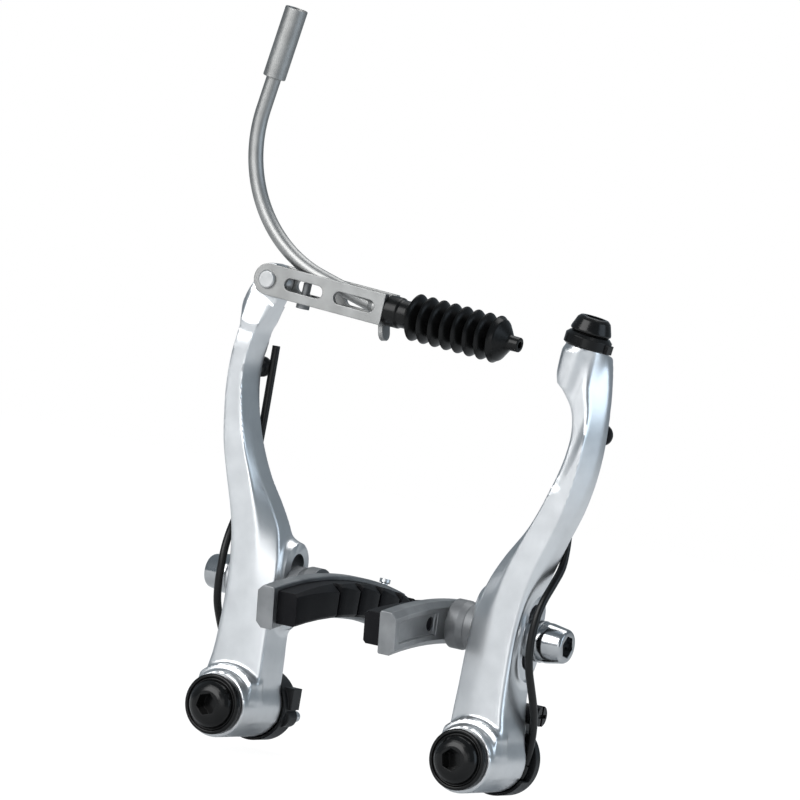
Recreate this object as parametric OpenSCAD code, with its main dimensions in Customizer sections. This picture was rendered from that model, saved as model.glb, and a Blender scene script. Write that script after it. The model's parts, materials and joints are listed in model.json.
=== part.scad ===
// Pair of linear-pull rim brake arms on their pivot hardware.
// X runs across the wheel, Y along the pivot axes (bolt heads towards -Y), Z up.
// The origin lies midway between the two pivot axes, in the arms' mid plane.
// Each side is drawn as the right-hand one, with x pointing outwards, and mirrored for the left.

/* [Pivots] */
// Distance between the two pivot axes
post_spacing = 70; // [68:1:90]
// Bore of the pivot sleeve that slides over the frame post
sleeve_bore_d = 8.4; // [8.4:0.1:9]
// Outside diameter of the pivot sleeve
sleeve_d = 11; // [10.6:0.1:11.4]
// Radial running clearance of the arm on the sleeve
pivot_play = 0.04; // [0.02:0.01:0.09]
// Outside diameter of the arm's pivot barrel
barrel_d = 16.6; // [16:0.1:17.4]
// Front face of the barrel
barrel_front_y = -11; // [-12.5:0.1:-10]
// Back face of the barrel
barrel_back_y = 8; // [7:0.1:8.2]
// How far the sleeve stands proud of the barrel at the front
sleeve_proud = 0.3; // [0.2:0.05:0.6]

/* [Pivot bolts] */
// Diameter of the pivot bolt's wide flange
bolt_flange_d = 15.2; // [14:0.1:16]
// Thickness of the bolt's flange
bolt_flange_t = 2; // [1.6:0.1:2.6]
// Height of the bolt's dome above its flange
bolt_dome_h = 2.4; // [1.8:0.1:3.2]
// Thread diameter of the pivot bolt
bolt_thread_d = 6; // [6:0.1:6]
// Length of the bolt's shank under its flange
bolt_shank_l = 18; // [14:0.5:22]
// Width across flats of the hex sockets
socket_af = 5; // [4:0.5:5]

/* [Spring housings] */
// Outside diameter of the spring housing
housing_d = 18.4; // [18:0.1:19.4]
// Depth of the spring housing along the pivot
housing_l = 5.8; // [5.4:0.1:7]
// Wall of the spring housing
housing_wall = 0.8; // [0.6:0.1:0.9]
// Gap between the barrel and the housing
housing_gap = 0.3; // [0.2:0.05:0.5]
// Diameter of the tension screw's head
tension_head_d = 5.2; // [4.6:0.1:5.6]
// Diameter of the stopper pin that enters the frame
stopper_d = 2.8; // [2.4:0.1:3.2]
// Length of the stopper pin behind the housing
stopper_out = 4.4; // [3:0.1:6]
// Inward offset of the stopper pin from the pivot
stopper_in = 7.3; // [7.2:0.1:7.5]
// Height of the stopper pin's axis against the pivot
stopper_z = -2; // [-3:0.1:-1]
// Height of the tension screw above the pivot
screw_z = 12.2; // [11.8:0.1:12.6]
// Outer end of the tension screw's block
block_out = 6.4; // [6:0.1:7]
// Inner end of the tension screw's block
block_in = -1.6; // [-2:0.1:0]
// Diameter of the block round the tension screw
block_d = 5; // [4.8:0.1:5.2]
// Shank diameter of the tension screw
tension_screw_d = 3; // [2.6:0.1:3]

/* [Springs] */
// Diameter of the return spring's wire
wire_d = 2; // [1.6:0.1:2]
// Mean diameter of the spring's coil
coil_d = 14.2; // [14:0.05:14.3]
// Diameter of the spring pin's knob on the back of the arm
spring_pin_d = 4.2; // [3.6:0.1:4.4]
// Diameter of the spring pin's shank in the arm
spring_pin_shank_d = 2.4; // [2:0.1:2.6]
// Outward offset of the spring pin from the pivot
spring_pin_out = 13.7; // [13.4:0.1:14]
// Height of the spring pin above the pivot
spring_pin_z = 83.5; // [80:0.5:86]

/* [Arms] */
// Height of the link rivet above the left pivot
rivet_z = 106; // [106:0.5:108]
// Outward offset of the link rivet from the left pivot
rivet_out = 9; // [8.6:0.1:9.2]
// Height of the clamp seat above the right pivot
clamp_z = 104.3; // [104:0.1:106]
// Outward offset of the clamp axis at its seat
clamp_out = 9.8; // [9.4:0.1:10.2]
// Outward lean of the clamp axis in degrees
clamp_lean = 8; // [4:1:12]
// Thickness of the tang that the link straddles
tang_t = 5; // [4.6:0.1:5.2]
// Radius of the tang's round end
tang_r = 4.3; // [4:0.1:4.4]
// Radius of the round head under the clamp
clamp_head_r = 5; // [4.8:0.1:5.3]
// Wall of the pad boss beyond its inner washer
boss_rim = 0.2; // [0.1:0.05:0.4]
// Inner face of the pad boss, inwards from the pivot axis
boss_in = 8; // [7.8:0.1:9]
// Outer face of the pad boss, outwards from the pivot axis
boss_out = 5.8; // [5.6:0.1:6.4]
// Width of the slot for the pad stud
slot_w = 6.3; // [6.2:0.05:6.6]
// Lowest stud centre in the slot
slot_low_z = 26.5; // [25.5:0.5:27]
// Highest stud centre in the slot
slot_high_z = 36.5; // [36:0.5:37]

/* [Pads] */
// Height of the pad stud above the pivot
pad_z = 31; // [29.5:0.5:33]
// Depth position of the pad stud
pad_y = 4.5; // [4:0.1:5]
// Length of the pad along its curve
pad_l = 67; // [60:1:72]
// How far the pad's middle lies behind its stud
pad_shift = 2.5; // [0:0.5:4]
// Distance from the boss to the back of the pad holder
pad_stack = 7.4; // [7:0.1:9]
// Height of the pad holder
pad_h = 10.8; // [10:0.1:11.6]
// Radius of the pad's curve, to match the rim
pad_curve_r = 150; // [140:5:300]
// Thickness of the pad holder
holder_t = 4.6; // [4.2:0.1:5]
// Wall of the pad holder round the rubber
holder_wall = 1.2; // [1:0.1:1.4]
// Thickness of the rubber in front of the holder
rubber_proud = 5.6; // [4:0.1:6]
// Number of grooves across the rubber
groove_count = 5; // [3:1:6]
// Diameter of the pin that keeps the rubber in its holder
pad_pin_d = 1.8; // [1.6:0.1:2]
// Diameter of the inner dome washer at the holder
dome_washer_d = 12.4; // [11.6:0.1:12.6]
// Diameter of the inner cup washer
cup_washer_d = 11.2; // [10.6:0.1:11.4]
// Diameter of the two outer washers
outer_washer_d = 10.4; // [10:0.1:10.6]
// Radius of the washers' spherical seats
seat_sphere_r = 8; // [7.6:0.1:9]
// Diameter of the pad stud
stud_d = 6; // [6:0.1:6]
// Diameter of the pad nut
nut_d = 10; // [9.6:0.1:10.2]
// Length of the pad nut
nut_l = 6.8; // [6.4:0.1:8]

/* [Link and noodle] */
// Length of the link from its rivet to its end plate
link_l = 33.5; // [32.6:0.1:35]
// Height of the link's plates
link_h = 7.9; // [7.6:0.1:8.4]
// Thickness of the link's sheet
link_t = 1.2; // [1:0.1:1.3]
// Gap between the tang and each plate of the link
link_play = 0.1; // [0.05:0.05:0.3]
// Downward slope of the link in degrees
link_slope = 3.5; // [2:0.5:5]
// Shank diameter of the link rivet
rivet_d = 3.2; // [3:0.1:3.4]
// Head diameter of the link rivet
rivet_head_d = 4.6; // [4.2:0.1:5]
// Diameter of the noodle's tube
noodle_d = 3.8; // [3.6:0.1:4]
// Slope of the noodle's straight end against the ground
noodle_slope = 15.7; // [14:0.1:18]
// Bend radius of the noodle
noodle_r = 34; // [33:0.5:35]
// Turn of the noodle's bend in degrees
noodle_turn = 84.3; // [80:0.1:86]
// Straight run of the noodle above its bend
noodle_run = 8.2; // [7:0.1:12]
// Diameter of the noodle's ferrule
ferrule_d = 5.8; // [5.4:0.1:6]
// Length of the noodle's ferrule
ferrule_l = 18.2; // [16:0.2:20]
// Diameter of the socket in the ferrule for the cable housing
housing_socket_d = 5.1; // [5:0.05:5.2]

/* [Boot and clamp] */
// Outside diameter of the boot's rings
boot_d = 11.9; // [11:0.1:12.4]
// Number of rings on the boot
boot_rings = 8; // [6:1:9]
// Pitch of the boot's rings
boot_pitch = 3.3; // [3:0.05:3.4]
// Length of the boot's collar before its first ring
boot_first = 6.4; // [5.2:0.1:7]
// Diameter of the cable clamp washer
clamp_washer_d = 11.7; // [11:0.1:12]
// Thickness of the cable clamp washer
clamp_washer_t = 3.3; // [3:0.1:3.6]
// Thread diameter of the cable bolt
cable_thread_d = 6; // [5:0.5:6]
// Length of the cable bolt's shank below its seat
cable_shank_l = 11; // [9:0.5:12]
// Lower diameter of the cable bolt's tapered head
cable_bolt_d = 10.2; // [9.6:0.1:10.6]
// Height of the cable bolt's head
cable_bolt_h = 4.3; // [4:0.1:5]

/* [Hidden] */

$fn = 48;
// Small overlap that makes a cut break cleanly through a face
cut = 1;
// Gap left between two curved faces of one assembly
seat_gap = 0.02;
// Colours of the finishes
silver = [0.80, 0.82, 0.84];
satin = [0.68, 0.70, 0.72];
steel = [0.60, 0.60, 0.60];
grey = [0.46, 0.47, 0.48];
black = [0.08, 0.08, 0.09];

arm_mid_y = -1;
boss_r = cup_washer_d / 2 + boss_rim;
sleeve_front_y = barrel_front_y - sleeve_proud;
housing_front_y = barrel_back_y + housing_gap;
housing_back_y = housing_front_y + housing_l;
sleeve_back_y = housing_back_y + sleeve_proud;
coil_y = housing_front_y + wire_d / 2 + 0.95;
pocket_back_y = coil_y + wire_d / 2 + 0.6;
screw_y = housing_back_y - block_d / 2;
hex_r = socket_af / sqrt(3);

// Arm's body at one height: z, outer edge, inner edge, front, back, then the facet of its
// inner front edge (x on the front, y on the side) and the facet of its outer front edge
arm_low = [
    [-3, 7.2, -7.2, -6.2, 7.2, -2.2, -4.8, 6.4, -5.4],
    [4, 7.7, -7.7, -6.2, 7.2, -2.2, -4.8, 6.9, -5.4],
    [8, 7.4, -7.7, -6.1, 7.2, -2.2, -4.8, 6.6, -5.3],
    [12, 6.7, -7.6, -6.0, 7.2, -2.2, -4.7, 5.9, -5.2],
    [17, 6.3, -7.4, -5.9, 7.0, -2.1, -4.6, 5.5, -5.1],
    [24, 6.1, -7.3, -5.8, 7.0, -2.0, -4.4, 5.3, -5.0],
    [31, 6.2, -7.2, -5.7, 6.4, -1.8, -4.0, 5.3, -4.8],
    [37, 6.7, -6.6, -5.6, 5.8, -1.2, -3.4, 5.8, -4.6],
    [42, 7.5, -5.6, -5.6, 5.0, -0.4, -2.6, 6.5, -4.3],
    [46, 8.6, -4.2, -5.6, 4.4, 0.4, -2.2, 7.5, -3.8],
    [51, 10.3, -1.4, -5.6, 3.9, 2.0, -2.4, 9.1, -3.0],
    [57, 12.5, 2.6, -5.5, 3.5, 4.3, -2.6, 11.2, -2.0],
    [64, 15.0, 6.2, -5.5, 3.4, 7.2, -2.0, 13.3, -1.0],
    [71, 16.6, 8.8, -5.4, 3.4, 9.4, -1.2, 14.6, 0.2],
    [78, 17.4, 10.4, -5.4, 3.4, 10.9, -0.6, 15.4, 1.0],
    [84, 17.5, 10.8, -5.4, 3.4, 11.3, -0.4, 15.5, 1.4]
];
left_top = [
    [90, 16.9, 9.9, -5.3, 3.2, 10.5, -0.6, 15.0, 1.2],
    [95, 16.0, 9.0, -4.6, 2.6, 9.6, -0.9, 14.4, 0.6],
    [99, 15.0, 8.2, -3.9, 1.9, 8.8, -1.1, 13.6, 0.0],
    [101.5, 14.2, 7.4, -3.6, 1.6, 8.0, -1.2, 12.9, -0.3]
];
right_top = [
    [89, 17.3, 9.4, -5.5, 3.5, 10.2, -1.6, 14.6, 1.6],
    [93, 16.9, 6.9, -5.7, 3.7, 8.0, -2.8, 13.4, 1.8],
    [96.5, 16.4, 4.8, -5.8, 3.9, 6.2, -3.4, 12.6, 1.8],
    [100, 15.8, 4.7, -5.9, 4.0, 6.2, -3.4, 12.2, 1.4],
    [103, 15.1, 5.1, -5.9, 4.0, 6.5, -3.4, 12.0, 1.0]
];
left_stations = concat(arm_low, left_top);
right_stations = concat(arm_low, right_top);

// Smooth curve through the stations: value of column c at height z
function seg(t, z, i = 0) = (i >= len(t) - 2 || z < t[i + 1][0]) ? i : seg(t, z, i + 1);
function slope(t, i, c) =
    let (a = max(i - 1, 0), b = min(i + 1, len(t) - 1))
    (t[b][c] - t[a][c]) / (t[b][0] - t[a][0]);
function hermite(p, q, m, n, h, s) =
    (2 * s * s * s - 3 * s * s + 1) * p + (s * s * s - 2 * s * s + s) * h * m
    + (3 * s * s - 2 * s * s * s) * q + (s * s * s - s * s) * h * n;
function at(t, z, c) =
    let (i = seg(t, z), h = t[i + 1][0] - t[i][0], s = (z - t[i][0]) / h)
    hermite(t[i][c], t[i + 1][c], slope(t, i, c), slope(t, i + 1, c), h, s);

// Cross-section of the arm at height z: a polygon of planes with its corners softened.
// A plane is its outward direction and its distance from the middle, in half widths.
ring_points = 40;
softness = 14;
function facet(u, v, su) =
    let (n = [su * (1 + v), u * su - 1], l = norm(n)) [n[0] / l, n[1] / l, abs(n * [u, -1]) / l];
function arm_planes(mid, half, inner, outer) = [
    [1, 0, 1], [0, 1, 1], [-1, 0, 1], [0, -1, 1],
    facet((inner[0] - mid[0]) / half[0], (inner[1] - mid[1]) / half[1], -1),
    facet((outer[0] - mid[0]) / half[0], (outer[1] - mid[1]) / half[1], 1)
];
function reach(planes, c, s, i = 0, total = 0) =
    i == len(planes) ? pow(total, -1 / softness)
    : reach(planes, c, s, i + 1,
            total + pow(max(0, (planes[i][0] * c + planes[i][1] * s) / planes[i][2]), softness));
function arm_ring(t, z) =
    let (e = [for (c = [1:8]) at(t, z, c)],
         mid = [(e[0] + e[1]) / 2, (e[2] + e[3]) / 2],
         half = [(e[0] - e[1]) / 2, (e[3] - e[2]) / 2],
         planes = arm_planes(mid, half, [e[4], e[5]], [e[6], e[7]]))
    [for (k = [0:ring_points - 1])
        let (c = cos(360 * k / ring_points), s = sin(360 * k / ring_points),
             r = reach(planes, c, s))
        [mid[0] + half[0] * r * c, mid[1] + half[1] * r * s, z]];

// Closed solid through a list of rings that run anticlockwise seen from the last ring
module skin(rings) {
    n = len(rings[0]);
    m = len(rings);
    points = [for (r = rings) for (p = r) p];
    sides = [for (j = [0:m - 2]) for (k = [0:n - 1])
        let (a = j * n + k, b = j * n + (k + 1) % n)
        each [[a, a + n, b + n], [a, b + n, b]]];
    bottom = [for (k = [0:n - 1]) k];
    top = [for (k = [n - 1:-1:0]) (m - 1) * n + k];
    polyhedron(points = points, faces = concat([bottom], sides, [top]), convexity = 6);
}

module arm_skin(t) {
    z0 = t[0][0];
    z1 = t[len(t) - 1][0];
    steps = 40;
    skin([for (j = [0:steps]) arm_ring(t, z0 + (z1 - z0) * j / steps)]);
}

// A cylinder along Y from y0 to y1, with its axis through x and z
module rod_y(x, z, y0, y1, r) {
    translate([x, y0, z]) rotate([-90, 0, 0]) cylinder(h = y1 - y0, r = r);
}

// A cylinder along X from x0 to x1, with its axis through y and z
module rod_x(y, z, x0, x1, r) {
    translate([x0, y, z]) rotate([0, 90, 0]) cylinder(h = x1 - x0, r = r);
}

// A body turned about Y from a profile of radius and y
module turned_y(profile) {
    rotate([-90, 0, 0]) rotate_extrude() polygon(profile);
}

// A body turned about X from a profile of radius and x
module turned_x(profile) {
    rotate([0, 90, 0]) rotate([0, 0, 90]) rotate_extrude() polygon(profile);
}

// Round-ended bar along X over the whole height of the slot
module slot_bar(x0, x1, r) {
    rod_x(pad_y, slot_low_z, x0, x1, r);
    rod_x(pad_y, slot_high_z, x0, x1, r);
    translate([x0, pad_y - r, slot_low_z]) cube([x1 - x0, 2 * r, slot_high_z - slot_low_z]);
}

module side(s) {
    translate([s * post_spacing / 2, 0, 0]) mirror([s < 0 ? 1 : 0, 0, 0]) children();
}

// Part of the arm that both sides share, with its bores and faces
module arm_common(t) {
    spot_r = boss_r + 0.4;
    difference() {
        union() {
            arm_skin(t);
            rod_y(0, 0, barrel_front_y, barrel_back_y, barrel_d / 2);
            slot_bar(-boss_in, boss_out, boss_r);
            children();
        }
        rod_y(0, 0, barrel_front_y - cut, barrel_back_y + cut, sleeve_d / 2 + pivot_play);
        slot_bar(-boss_in - cut, boss_out + cut, slot_w / 2);
        slot_bar(boss_out, boss_out + 12, spot_r);
        slot_bar(-boss_in - 12, -boss_in, spot_r);
        rod_y(spring_pin_out, spring_pin_z, 0, 12, spring_pin_shank_d / 2 + seat_gap);
    }
}

// Left arm: ends in the tang that carries the link
module left_arm() {
    tang_front_y = arm_mid_y - tang_t / 2;
    color(silver) side(-1) difference() {
        arm_common(left_stations) {
            hull() {
                rod_y(rivet_out, rivet_z, tang_front_y, tang_front_y + tang_t, tang_r);
                rod_y(rivet_out + 2.6, rivet_z - 7, tang_front_y, tang_front_y + tang_t,
                      tang_r - 0.9);
            }
        }
        rod_y(rivet_out, rivet_z, -12, 12, rivet_d / 2 + pivot_play);
        link_room();
    }
}

// Room beside the tang in which the link's plates turn
module link_room() {
    room_r = link_h / 2 + 0.5;
    rod_y(rivet_out, rivet_z, arm_mid_y + tang_t / 2, 12, room_r);
    rod_y(rivet_out, rivet_z, -12, arm_mid_y - tang_t / 2, room_r);
}

module clamp_frame() {
    translate([clamp_out, arm_mid_y, clamp_z]) rotate([0, clamp_lean, 0]) children();
}

// Right arm: ends in the round head that carries the cable clamp
module right_arm() {
    color(silver) side(1) difference() {
        arm_common(right_stations) {
            clamp_frame() translate([0, 0, -6]) cylinder(h = 6, r = clamp_head_r);
        }
        clamp_frame() cylinder(h = 12, r = 14);
        clamp_frame() translate([0, 0, -cable_shank_l - 1])
            cylinder(h = cable_shank_l + 2, r = cable_thread_d / 2 + seat_gap);
    }
}

module pivot_sleeve(s) {
    color(steel) side(s) difference() {
        rod_y(0, 0, sleeve_front_y, sleeve_back_y, sleeve_d / 2);
        rod_y(0, 0, sleeve_front_y - cut, sleeve_back_y + cut, sleeve_bore_d / 2);
    }
}

module pivot_bolt(s) {
    flange_r = bolt_flange_d / 2;
    face_y = sleeve_front_y - bolt_flange_t;
    dome_r = flange_r - 1.5;
    top_y = face_y - bolt_dome_h;
    thread_r = bolt_thread_d / 2;
    tip_y = sleeve_front_y + bolt_shank_l;
    socket_depth = 3.6;
    color(black) side(s) difference() {
        turned_y([
            [0, top_y], [3.6, top_y + 0.1], [5, top_y + 0.7], [dome_r - 0.3, face_y - 0.2],
            [dome_r, face_y + 0.5], [dome_r + 0.4, face_y + 0.5], [dome_r + 0.6, face_y],
            [flange_r - 0.4, face_y], [flange_r, face_y + 0.4], [flange_r, sleeve_front_y],
            [thread_r, sleeve_front_y], [thread_r, tip_y - 0.8], [thread_r - 0.8, tip_y],
            [0, tip_y]
        ]);
        translate([0, top_y + socket_depth, 0]) rotate([90, 0, 0])
            cylinder(h = socket_depth + cut, r = hex_r, $fn = 6);
    }
}

// Arc-shaped cut about the pivot between two angles, from y0 to y1
module pivot_wedge(a0, a1, r0, r1, y0, y1) {
    rotate([90, 0, 0]) rotate([0, 0, a0]) rotate_extrude(angle = a1 - a0)
        translate([r0, -y1]) square([r1 - r0, y1 - y0]);
}

module spring_housing(s) {
    block_r = block_d / 2;
    screw_hole_r = tension_screw_d / 2 + seat_gap;
    foot_r = stopper_d / 2 + 1.2;
    color(black) side(s) difference() {
        union() {
            rod_y(0, 0, housing_front_y, housing_back_y, housing_d / 2);
            rod_x(screw_y, screw_z, block_in, block_out, block_r);
            translate([block_in, screw_y - block_r, 0])
                cube([block_out - block_in - 1.5, 2 * block_r, screw_z]);
            rod_y(-stopper_in, stopper_z, housing_front_y + 1.5, housing_back_y, foot_r);
            translate([-housing_d / 2 - 0.8, housing_front_y + 1.5, stopper_z + 2.2])
                cube([3, housing_l - 1.5, 5.4]);
        }
        rod_y(0, 0, housing_front_y - cut, pocket_back_y, housing_d / 2 - housing_wall);
        rod_y(0, 0, 0, housing_back_y + cut, sleeve_d / 2 + seat_gap);
        pivot_wedge(-29, 54, 5.8, 13, housing_front_y - 3, pocket_back_y);
        rod_x(screw_y, screw_z, block_in - cut, block_out + cut, screw_hole_r);
        rod_y(-stopper_in, stopper_z, pocket_back_y + 0.6, housing_back_y + cut,
              stopper_d / 2 + seat_gap);
    }
}

module tension_screw(s) {
    r = tension_screw_d / 2;
    head_l = 2.4;
    slot_x = block_out + head_l - 0.8;
    color(black) side(s) difference() {
        union() {
            rod_x(screw_y, screw_z, block_in - 1.2, block_out, r);
            rod_x(screw_y, screw_z, block_out, block_out + head_l, tension_head_d / 2);
        }
        translate([slot_x, screw_y - 0.45, screw_z - 5]) cube([2, 0.9, 10]);
        translate([slot_x, screw_y - 2, screw_z - 0.45]) cube([2, 4, 0.9]);
    }
}

module stopper_pin(s) {
    r = stopper_d / 2;
    tip_y = housing_back_y + stopper_out;
    color(steel) side(s) translate([-stopper_in, 0, stopper_z])
        turned_y([
            [0, pocket_back_y + 0.7], [r, pocket_back_y + 0.7], [r, tip_y - 0.6],
            [r - 0.6, tip_y], [0, tip_y]
        ]);
}

// Route of the spring's leg: out of the housing, round the nut's front, up behind the arm
spring_route = [
    [7.1, 10.3, 0], [7.6, 10.1, 3], [8.2, 9.3, 6.5], [8.9, 7.4, 10.5], [9.4, 4.6, 15],
    [9.6, 1.4, 19.5], [9.6, -1.4, 24], [9.5, -2.7, 28.5], [9.5, -2.8, 33],
    [9.7, -2.2, 37.5], [10.0, -0.6, 41.5], [10.4, 2.1, 45.5], [10.5, 5.0, 49.5],
    [10.3, 6.1, 54], [9.9, 6.4, 60], [9.6, 6.4, 70], [9.5, 6.3, 80], [9.5, 6.3, 89.4]
];

function unit(v) = v / norm(v);
function heading(p, i) =
    unit(p[min(i + 1, len(p) - 1)] - p[max(i - 1, 0)]);
// Ring of n points round point i of a path, square to its heading
function path_ring(p, i, r, n) =
    let (t = heading(p, i), a = unit(cross(t[1] > 0.9 ? [1, 0, 0] : [0.1, 1, 0], t)), b = cross(t, a))
    [for (k = [0:n - 1]) p[i] + r * (cos(360 * k / n) * a + sin(360 * k / n) * b)];

module swept(p, r, n) {
    skin([for (i = [0:len(p) - 1]) path_ring(p, i, r, n)]);
}

// Spring: one coil round the sleeve and the leg that leaves it
module spring(s) {
    color(black) side(s) union() {
        rod_ring(coil_d / 2, wire_d / 2, coil_y);
        swept(spring_route, wire_d / 2, 8);
    }
}

module rod_ring(ring_r, r, y) {
    translate([0, y, 0]) rotate([90, 0, 0]) rotate_extrude()
        translate([ring_r, 0]) circle(r = r);
}

module spring_pin(s) {
    r = spring_pin_d / 2;
    back_y = at(arm_low, spring_pin_z, 4);
    color(black) side(s) translate([spring_pin_out, 0, spring_pin_z])
        turned_y([
            [0, 0.2], [spring_pin_shank_d / 2, 0.2], [spring_pin_shank_d / 2, back_y + 0.1],
            [r - 0.4, back_y + 0.1], [r - 0.5, back_y + 4.2], [r + 0.5, back_y + 4.6],
            [r + 0.5, back_y + 5.4], [r, back_y + 5.8], [0, back_y + 5.8]
        ]);
}

// Faces along the pad stud, measured inwards from the pivot axis
holder_back = boss_in + pad_stack;
holder_front = holder_back + holder_t;
rubber_face = holder_front + rubber_proud;
rubber_seat = holder_back + 1.6;
pad_near = pad_shift - pad_l / 2;
pad_far = pad_shift + pad_l / 2;
pad_pin_at = pad_far - 9.5;
pad_pin_deep = rubber_seat + 1.5;
stud_r = stud_d / 2;
stud_hole_r = stud_r + 0.2;
outer_dome_out = boss_out + 3.4;
nut_end = outer_dome_out + nut_l;

// Brings an arc drawn about Z to the pad: its axis points inwards and its middle lies at the stud
module pad_frame() {
    translate([0, pad_y, pad_z - pad_curve_r]) rotate([0, 0, -90]) rotate([90, 0, 0])
        rotate([0, 0, 90]) children();
}
function along(mm) = mm / pad_curve_r * 180 / PI;
// Bar along the pad's curve from a to b millimetres past the stud, positive towards +Y
module arc_bar(a, b, profile) {
    rotate([0, 0, along(a)]) rotate_extrude(angle = along(b - a), $fn = 360)
        translate([pad_curve_r, 0]) polygon(profile);
}

module pad_holder(s) {
    h = pad_h / 2;
    w = holder_wall;
    color(satin) side(s) difference() {
        pad_frame() difference() {
            arc_bar(pad_near, pad_far, [
                [-h, holder_back + 1.4], [-h + 1.4, holder_back], [h - 1.4, holder_back],
                [h, holder_back + 1.4], [h, holder_front - 0.3], [h - 0.3, holder_front],
                [-h + 0.3, holder_front], [-h, holder_front - 0.3]
            ]);
            arc_bar(pad_near + 2, pad_far + 2, [
                [-h + w, rubber_seat], [h - w, rubber_seat],
                [h - w, holder_front + cut], [-h + w, holder_front + cut]
            ]);
            for (a = [-19.5, 20])
                arc_bar(a - 9.5, a + 9.5, [
                    [-h + 2.4, holder_back - cut], [h - 2.4, holder_back - cut],
                    [h - 2.8, holder_back + 0.9], [-h + 2.8, holder_back + 0.9]
                ]);
            for (a = [-12, 12]) rotate([0, 0, along(a)])
                translate([pad_curve_r, 0, holder_back]) cylinder(h = 2, r = 1.8);
            rotate([0, 0, along(pad_pin_at)]) rotate([0, 90, 0])
                translate([-pad_pin_deep, 0, 0]) cylinder(h = 400, r = pad_pin_d / 2 + seat_gap);
        }
        rod_x(pad_y, pad_z, -rubber_seat - cut, -holder_back + cut, stud_r + seat_gap);
    }
}

module pad_rubber(s) {
    h = pad_h / 2 - holder_wall - 0.05;
    near = pad_near + 2.05;
    far = pad_far + 0.8;
    pitch = (far - near - 16) / (groove_count - 1);
    bevel = 1.1;
    color(black) side(s) pad_frame() difference() {
        arc_bar(near, far, [
            [-h, rubber_seat + 0.05], [h, rubber_seat + 0.05], [h, rubber_face - bevel],
            [h - bevel, rubber_face], [-h + bevel, rubber_face], [-h, rubber_face - bevel]
        ]);
        for (k = [0:groove_count - 1])
            arc_bar(near + 8 + pitch * k - 0.5, near + 8 + pitch * k + 0.5, [
                [-h - cut, rubber_face - 1.8], [h + cut, rubber_face - 1.8],
                [h + cut, rubber_face + cut], [-h - cut, rubber_face + cut]
            ]);
        rotate([0, 0, along(pad_pin_at)]) rotate([0, 90, 0])
            translate([-pad_pin_deep, 0, 0]) cylinder(h = 400, r = pad_pin_d / 2 + 0.05);
    }
}

module pad_pin(s) {
    low = pad_curve_r - pad_h / 2 - 2.5;
    high = pad_curve_r + pad_h / 2 + 1.5;
    color(steel) side(s) pad_frame() rotate([0, 0, along(pad_pin_at)]) rotate([0, 90, 0])
        translate([-pad_pin_deep, 0, low]) union() {
            cylinder(h = high - low, r = pad_pin_d / 2);
            translate([0, 0, high - low - 1]) cylinder(h = 1, r = pad_pin_d / 2 + 0.5);
        }
}

module pad_stud(s) {
    color(steel) side(s)
        rod_x(pad_y, pad_z, -rubber_seat, nut_end - 4.6, stud_r);
}

// Height of the washers' spherical seat at radius r, from the sphere's nearest point
function sphere_rise(r) = seat_sphere_r - sqrt(seat_sphere_r * seat_sphere_r - r * r);
function seat_arc(r0, r1, n) = [for (k = [0:n]) r0 + (r1 - r0) * k / n];
seat_steps = 6;

// Washer set seen from the arm outwards along +x: x0 is the arm's face, x1 the far face
module cup_washer(d, x0, seat_x) {
    radii = seat_arc(stud_hole_r, d / 2, seat_steps);
    turned_x(concat(
        [[d / 2, x0], [stud_hole_r, x0]],
        [for (r = radii) [r, seat_x + sphere_rise(r) - seat_gap]]
    ));
}
module dome_washer(d, seat_x, x1) {
    radii = seat_arc(stud_hole_r, d / 2 - 0.6, seat_steps);
    turned_x(concat(
        [[d / 2, x1], [stud_hole_r, x1]],
        [for (r = radii) [r, seat_x + sphere_rise(r)]],
        [[d / 2, min(seat_x + sphere_rise(d / 2 - 0.6) + 1.6, x1 - 0.2)]]
    ));
}

module at_stud(s, turned) {
    side(s) translate([0, pad_y, pad_z]) mirror([turned, 0, 0]) children();
}

module inner_dome_washer(s) {
    color(grey) at_stud(s, 1) dome_washer(dome_washer_d, boss_in + 0.5, holder_back);
}
module inner_cup_washer(s) {
    color(grey) at_stud(s, 1) cup_washer(cup_washer_d, boss_in, boss_in + 0.5);
}
module outer_cup_washer(s) {
    color(steel) at_stud(s, 0) cup_washer(outer_washer_d, boss_out, boss_out + 0.4);
}
module outer_dome_washer(s) {
    color(steel) at_stud(s, 0) dome_washer(outer_washer_d, boss_out + 0.4, outer_dome_out);
}

module pad_nut(s) {
    r = nut_d / 2;
    color(silver) at_stud(s, 0) difference() {
        turned_x([
            [0, outer_dome_out], [r, outer_dome_out], [r, outer_dome_out + 1.8],
            [r - 0.8, nut_end - 0.5], [r - 1.2, nut_end], [0, nut_end]
        ]);
        rotate([0, 90, 0]) cylinder(h = nut_end - 4.5, r = stud_r + seat_gap);
        translate([nut_end - 4.5, 0, 0]) rotate([0, 90, 0])
            cylinder(h = 6, r = hex_r, $fn = 6);
    }
}

// Frame of the link: origin at the rivet, x along the link
module link_frame() {
    translate([-post_spacing / 2 - rivet_out, arm_mid_y, rivet_z]) rotate([0, link_slope, 0])
        children();
}
plate_in = tang_t / 2 + link_play;
plate_out = plate_in + link_t;
slot_r = 1.6;

module link_slot(x0, x1) {
    for (x = [x0 + slot_r, x1 - slot_r])
        rod_y(x, 0, -plate_out - cut, plate_out + cut, slot_r);
    translate([x0 + slot_r, -plate_out - cut, -slot_r])
        cube([x1 - x0 - 2 * slot_r, 2 * (plate_out + cut), 2 * slot_r]);
}

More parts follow.
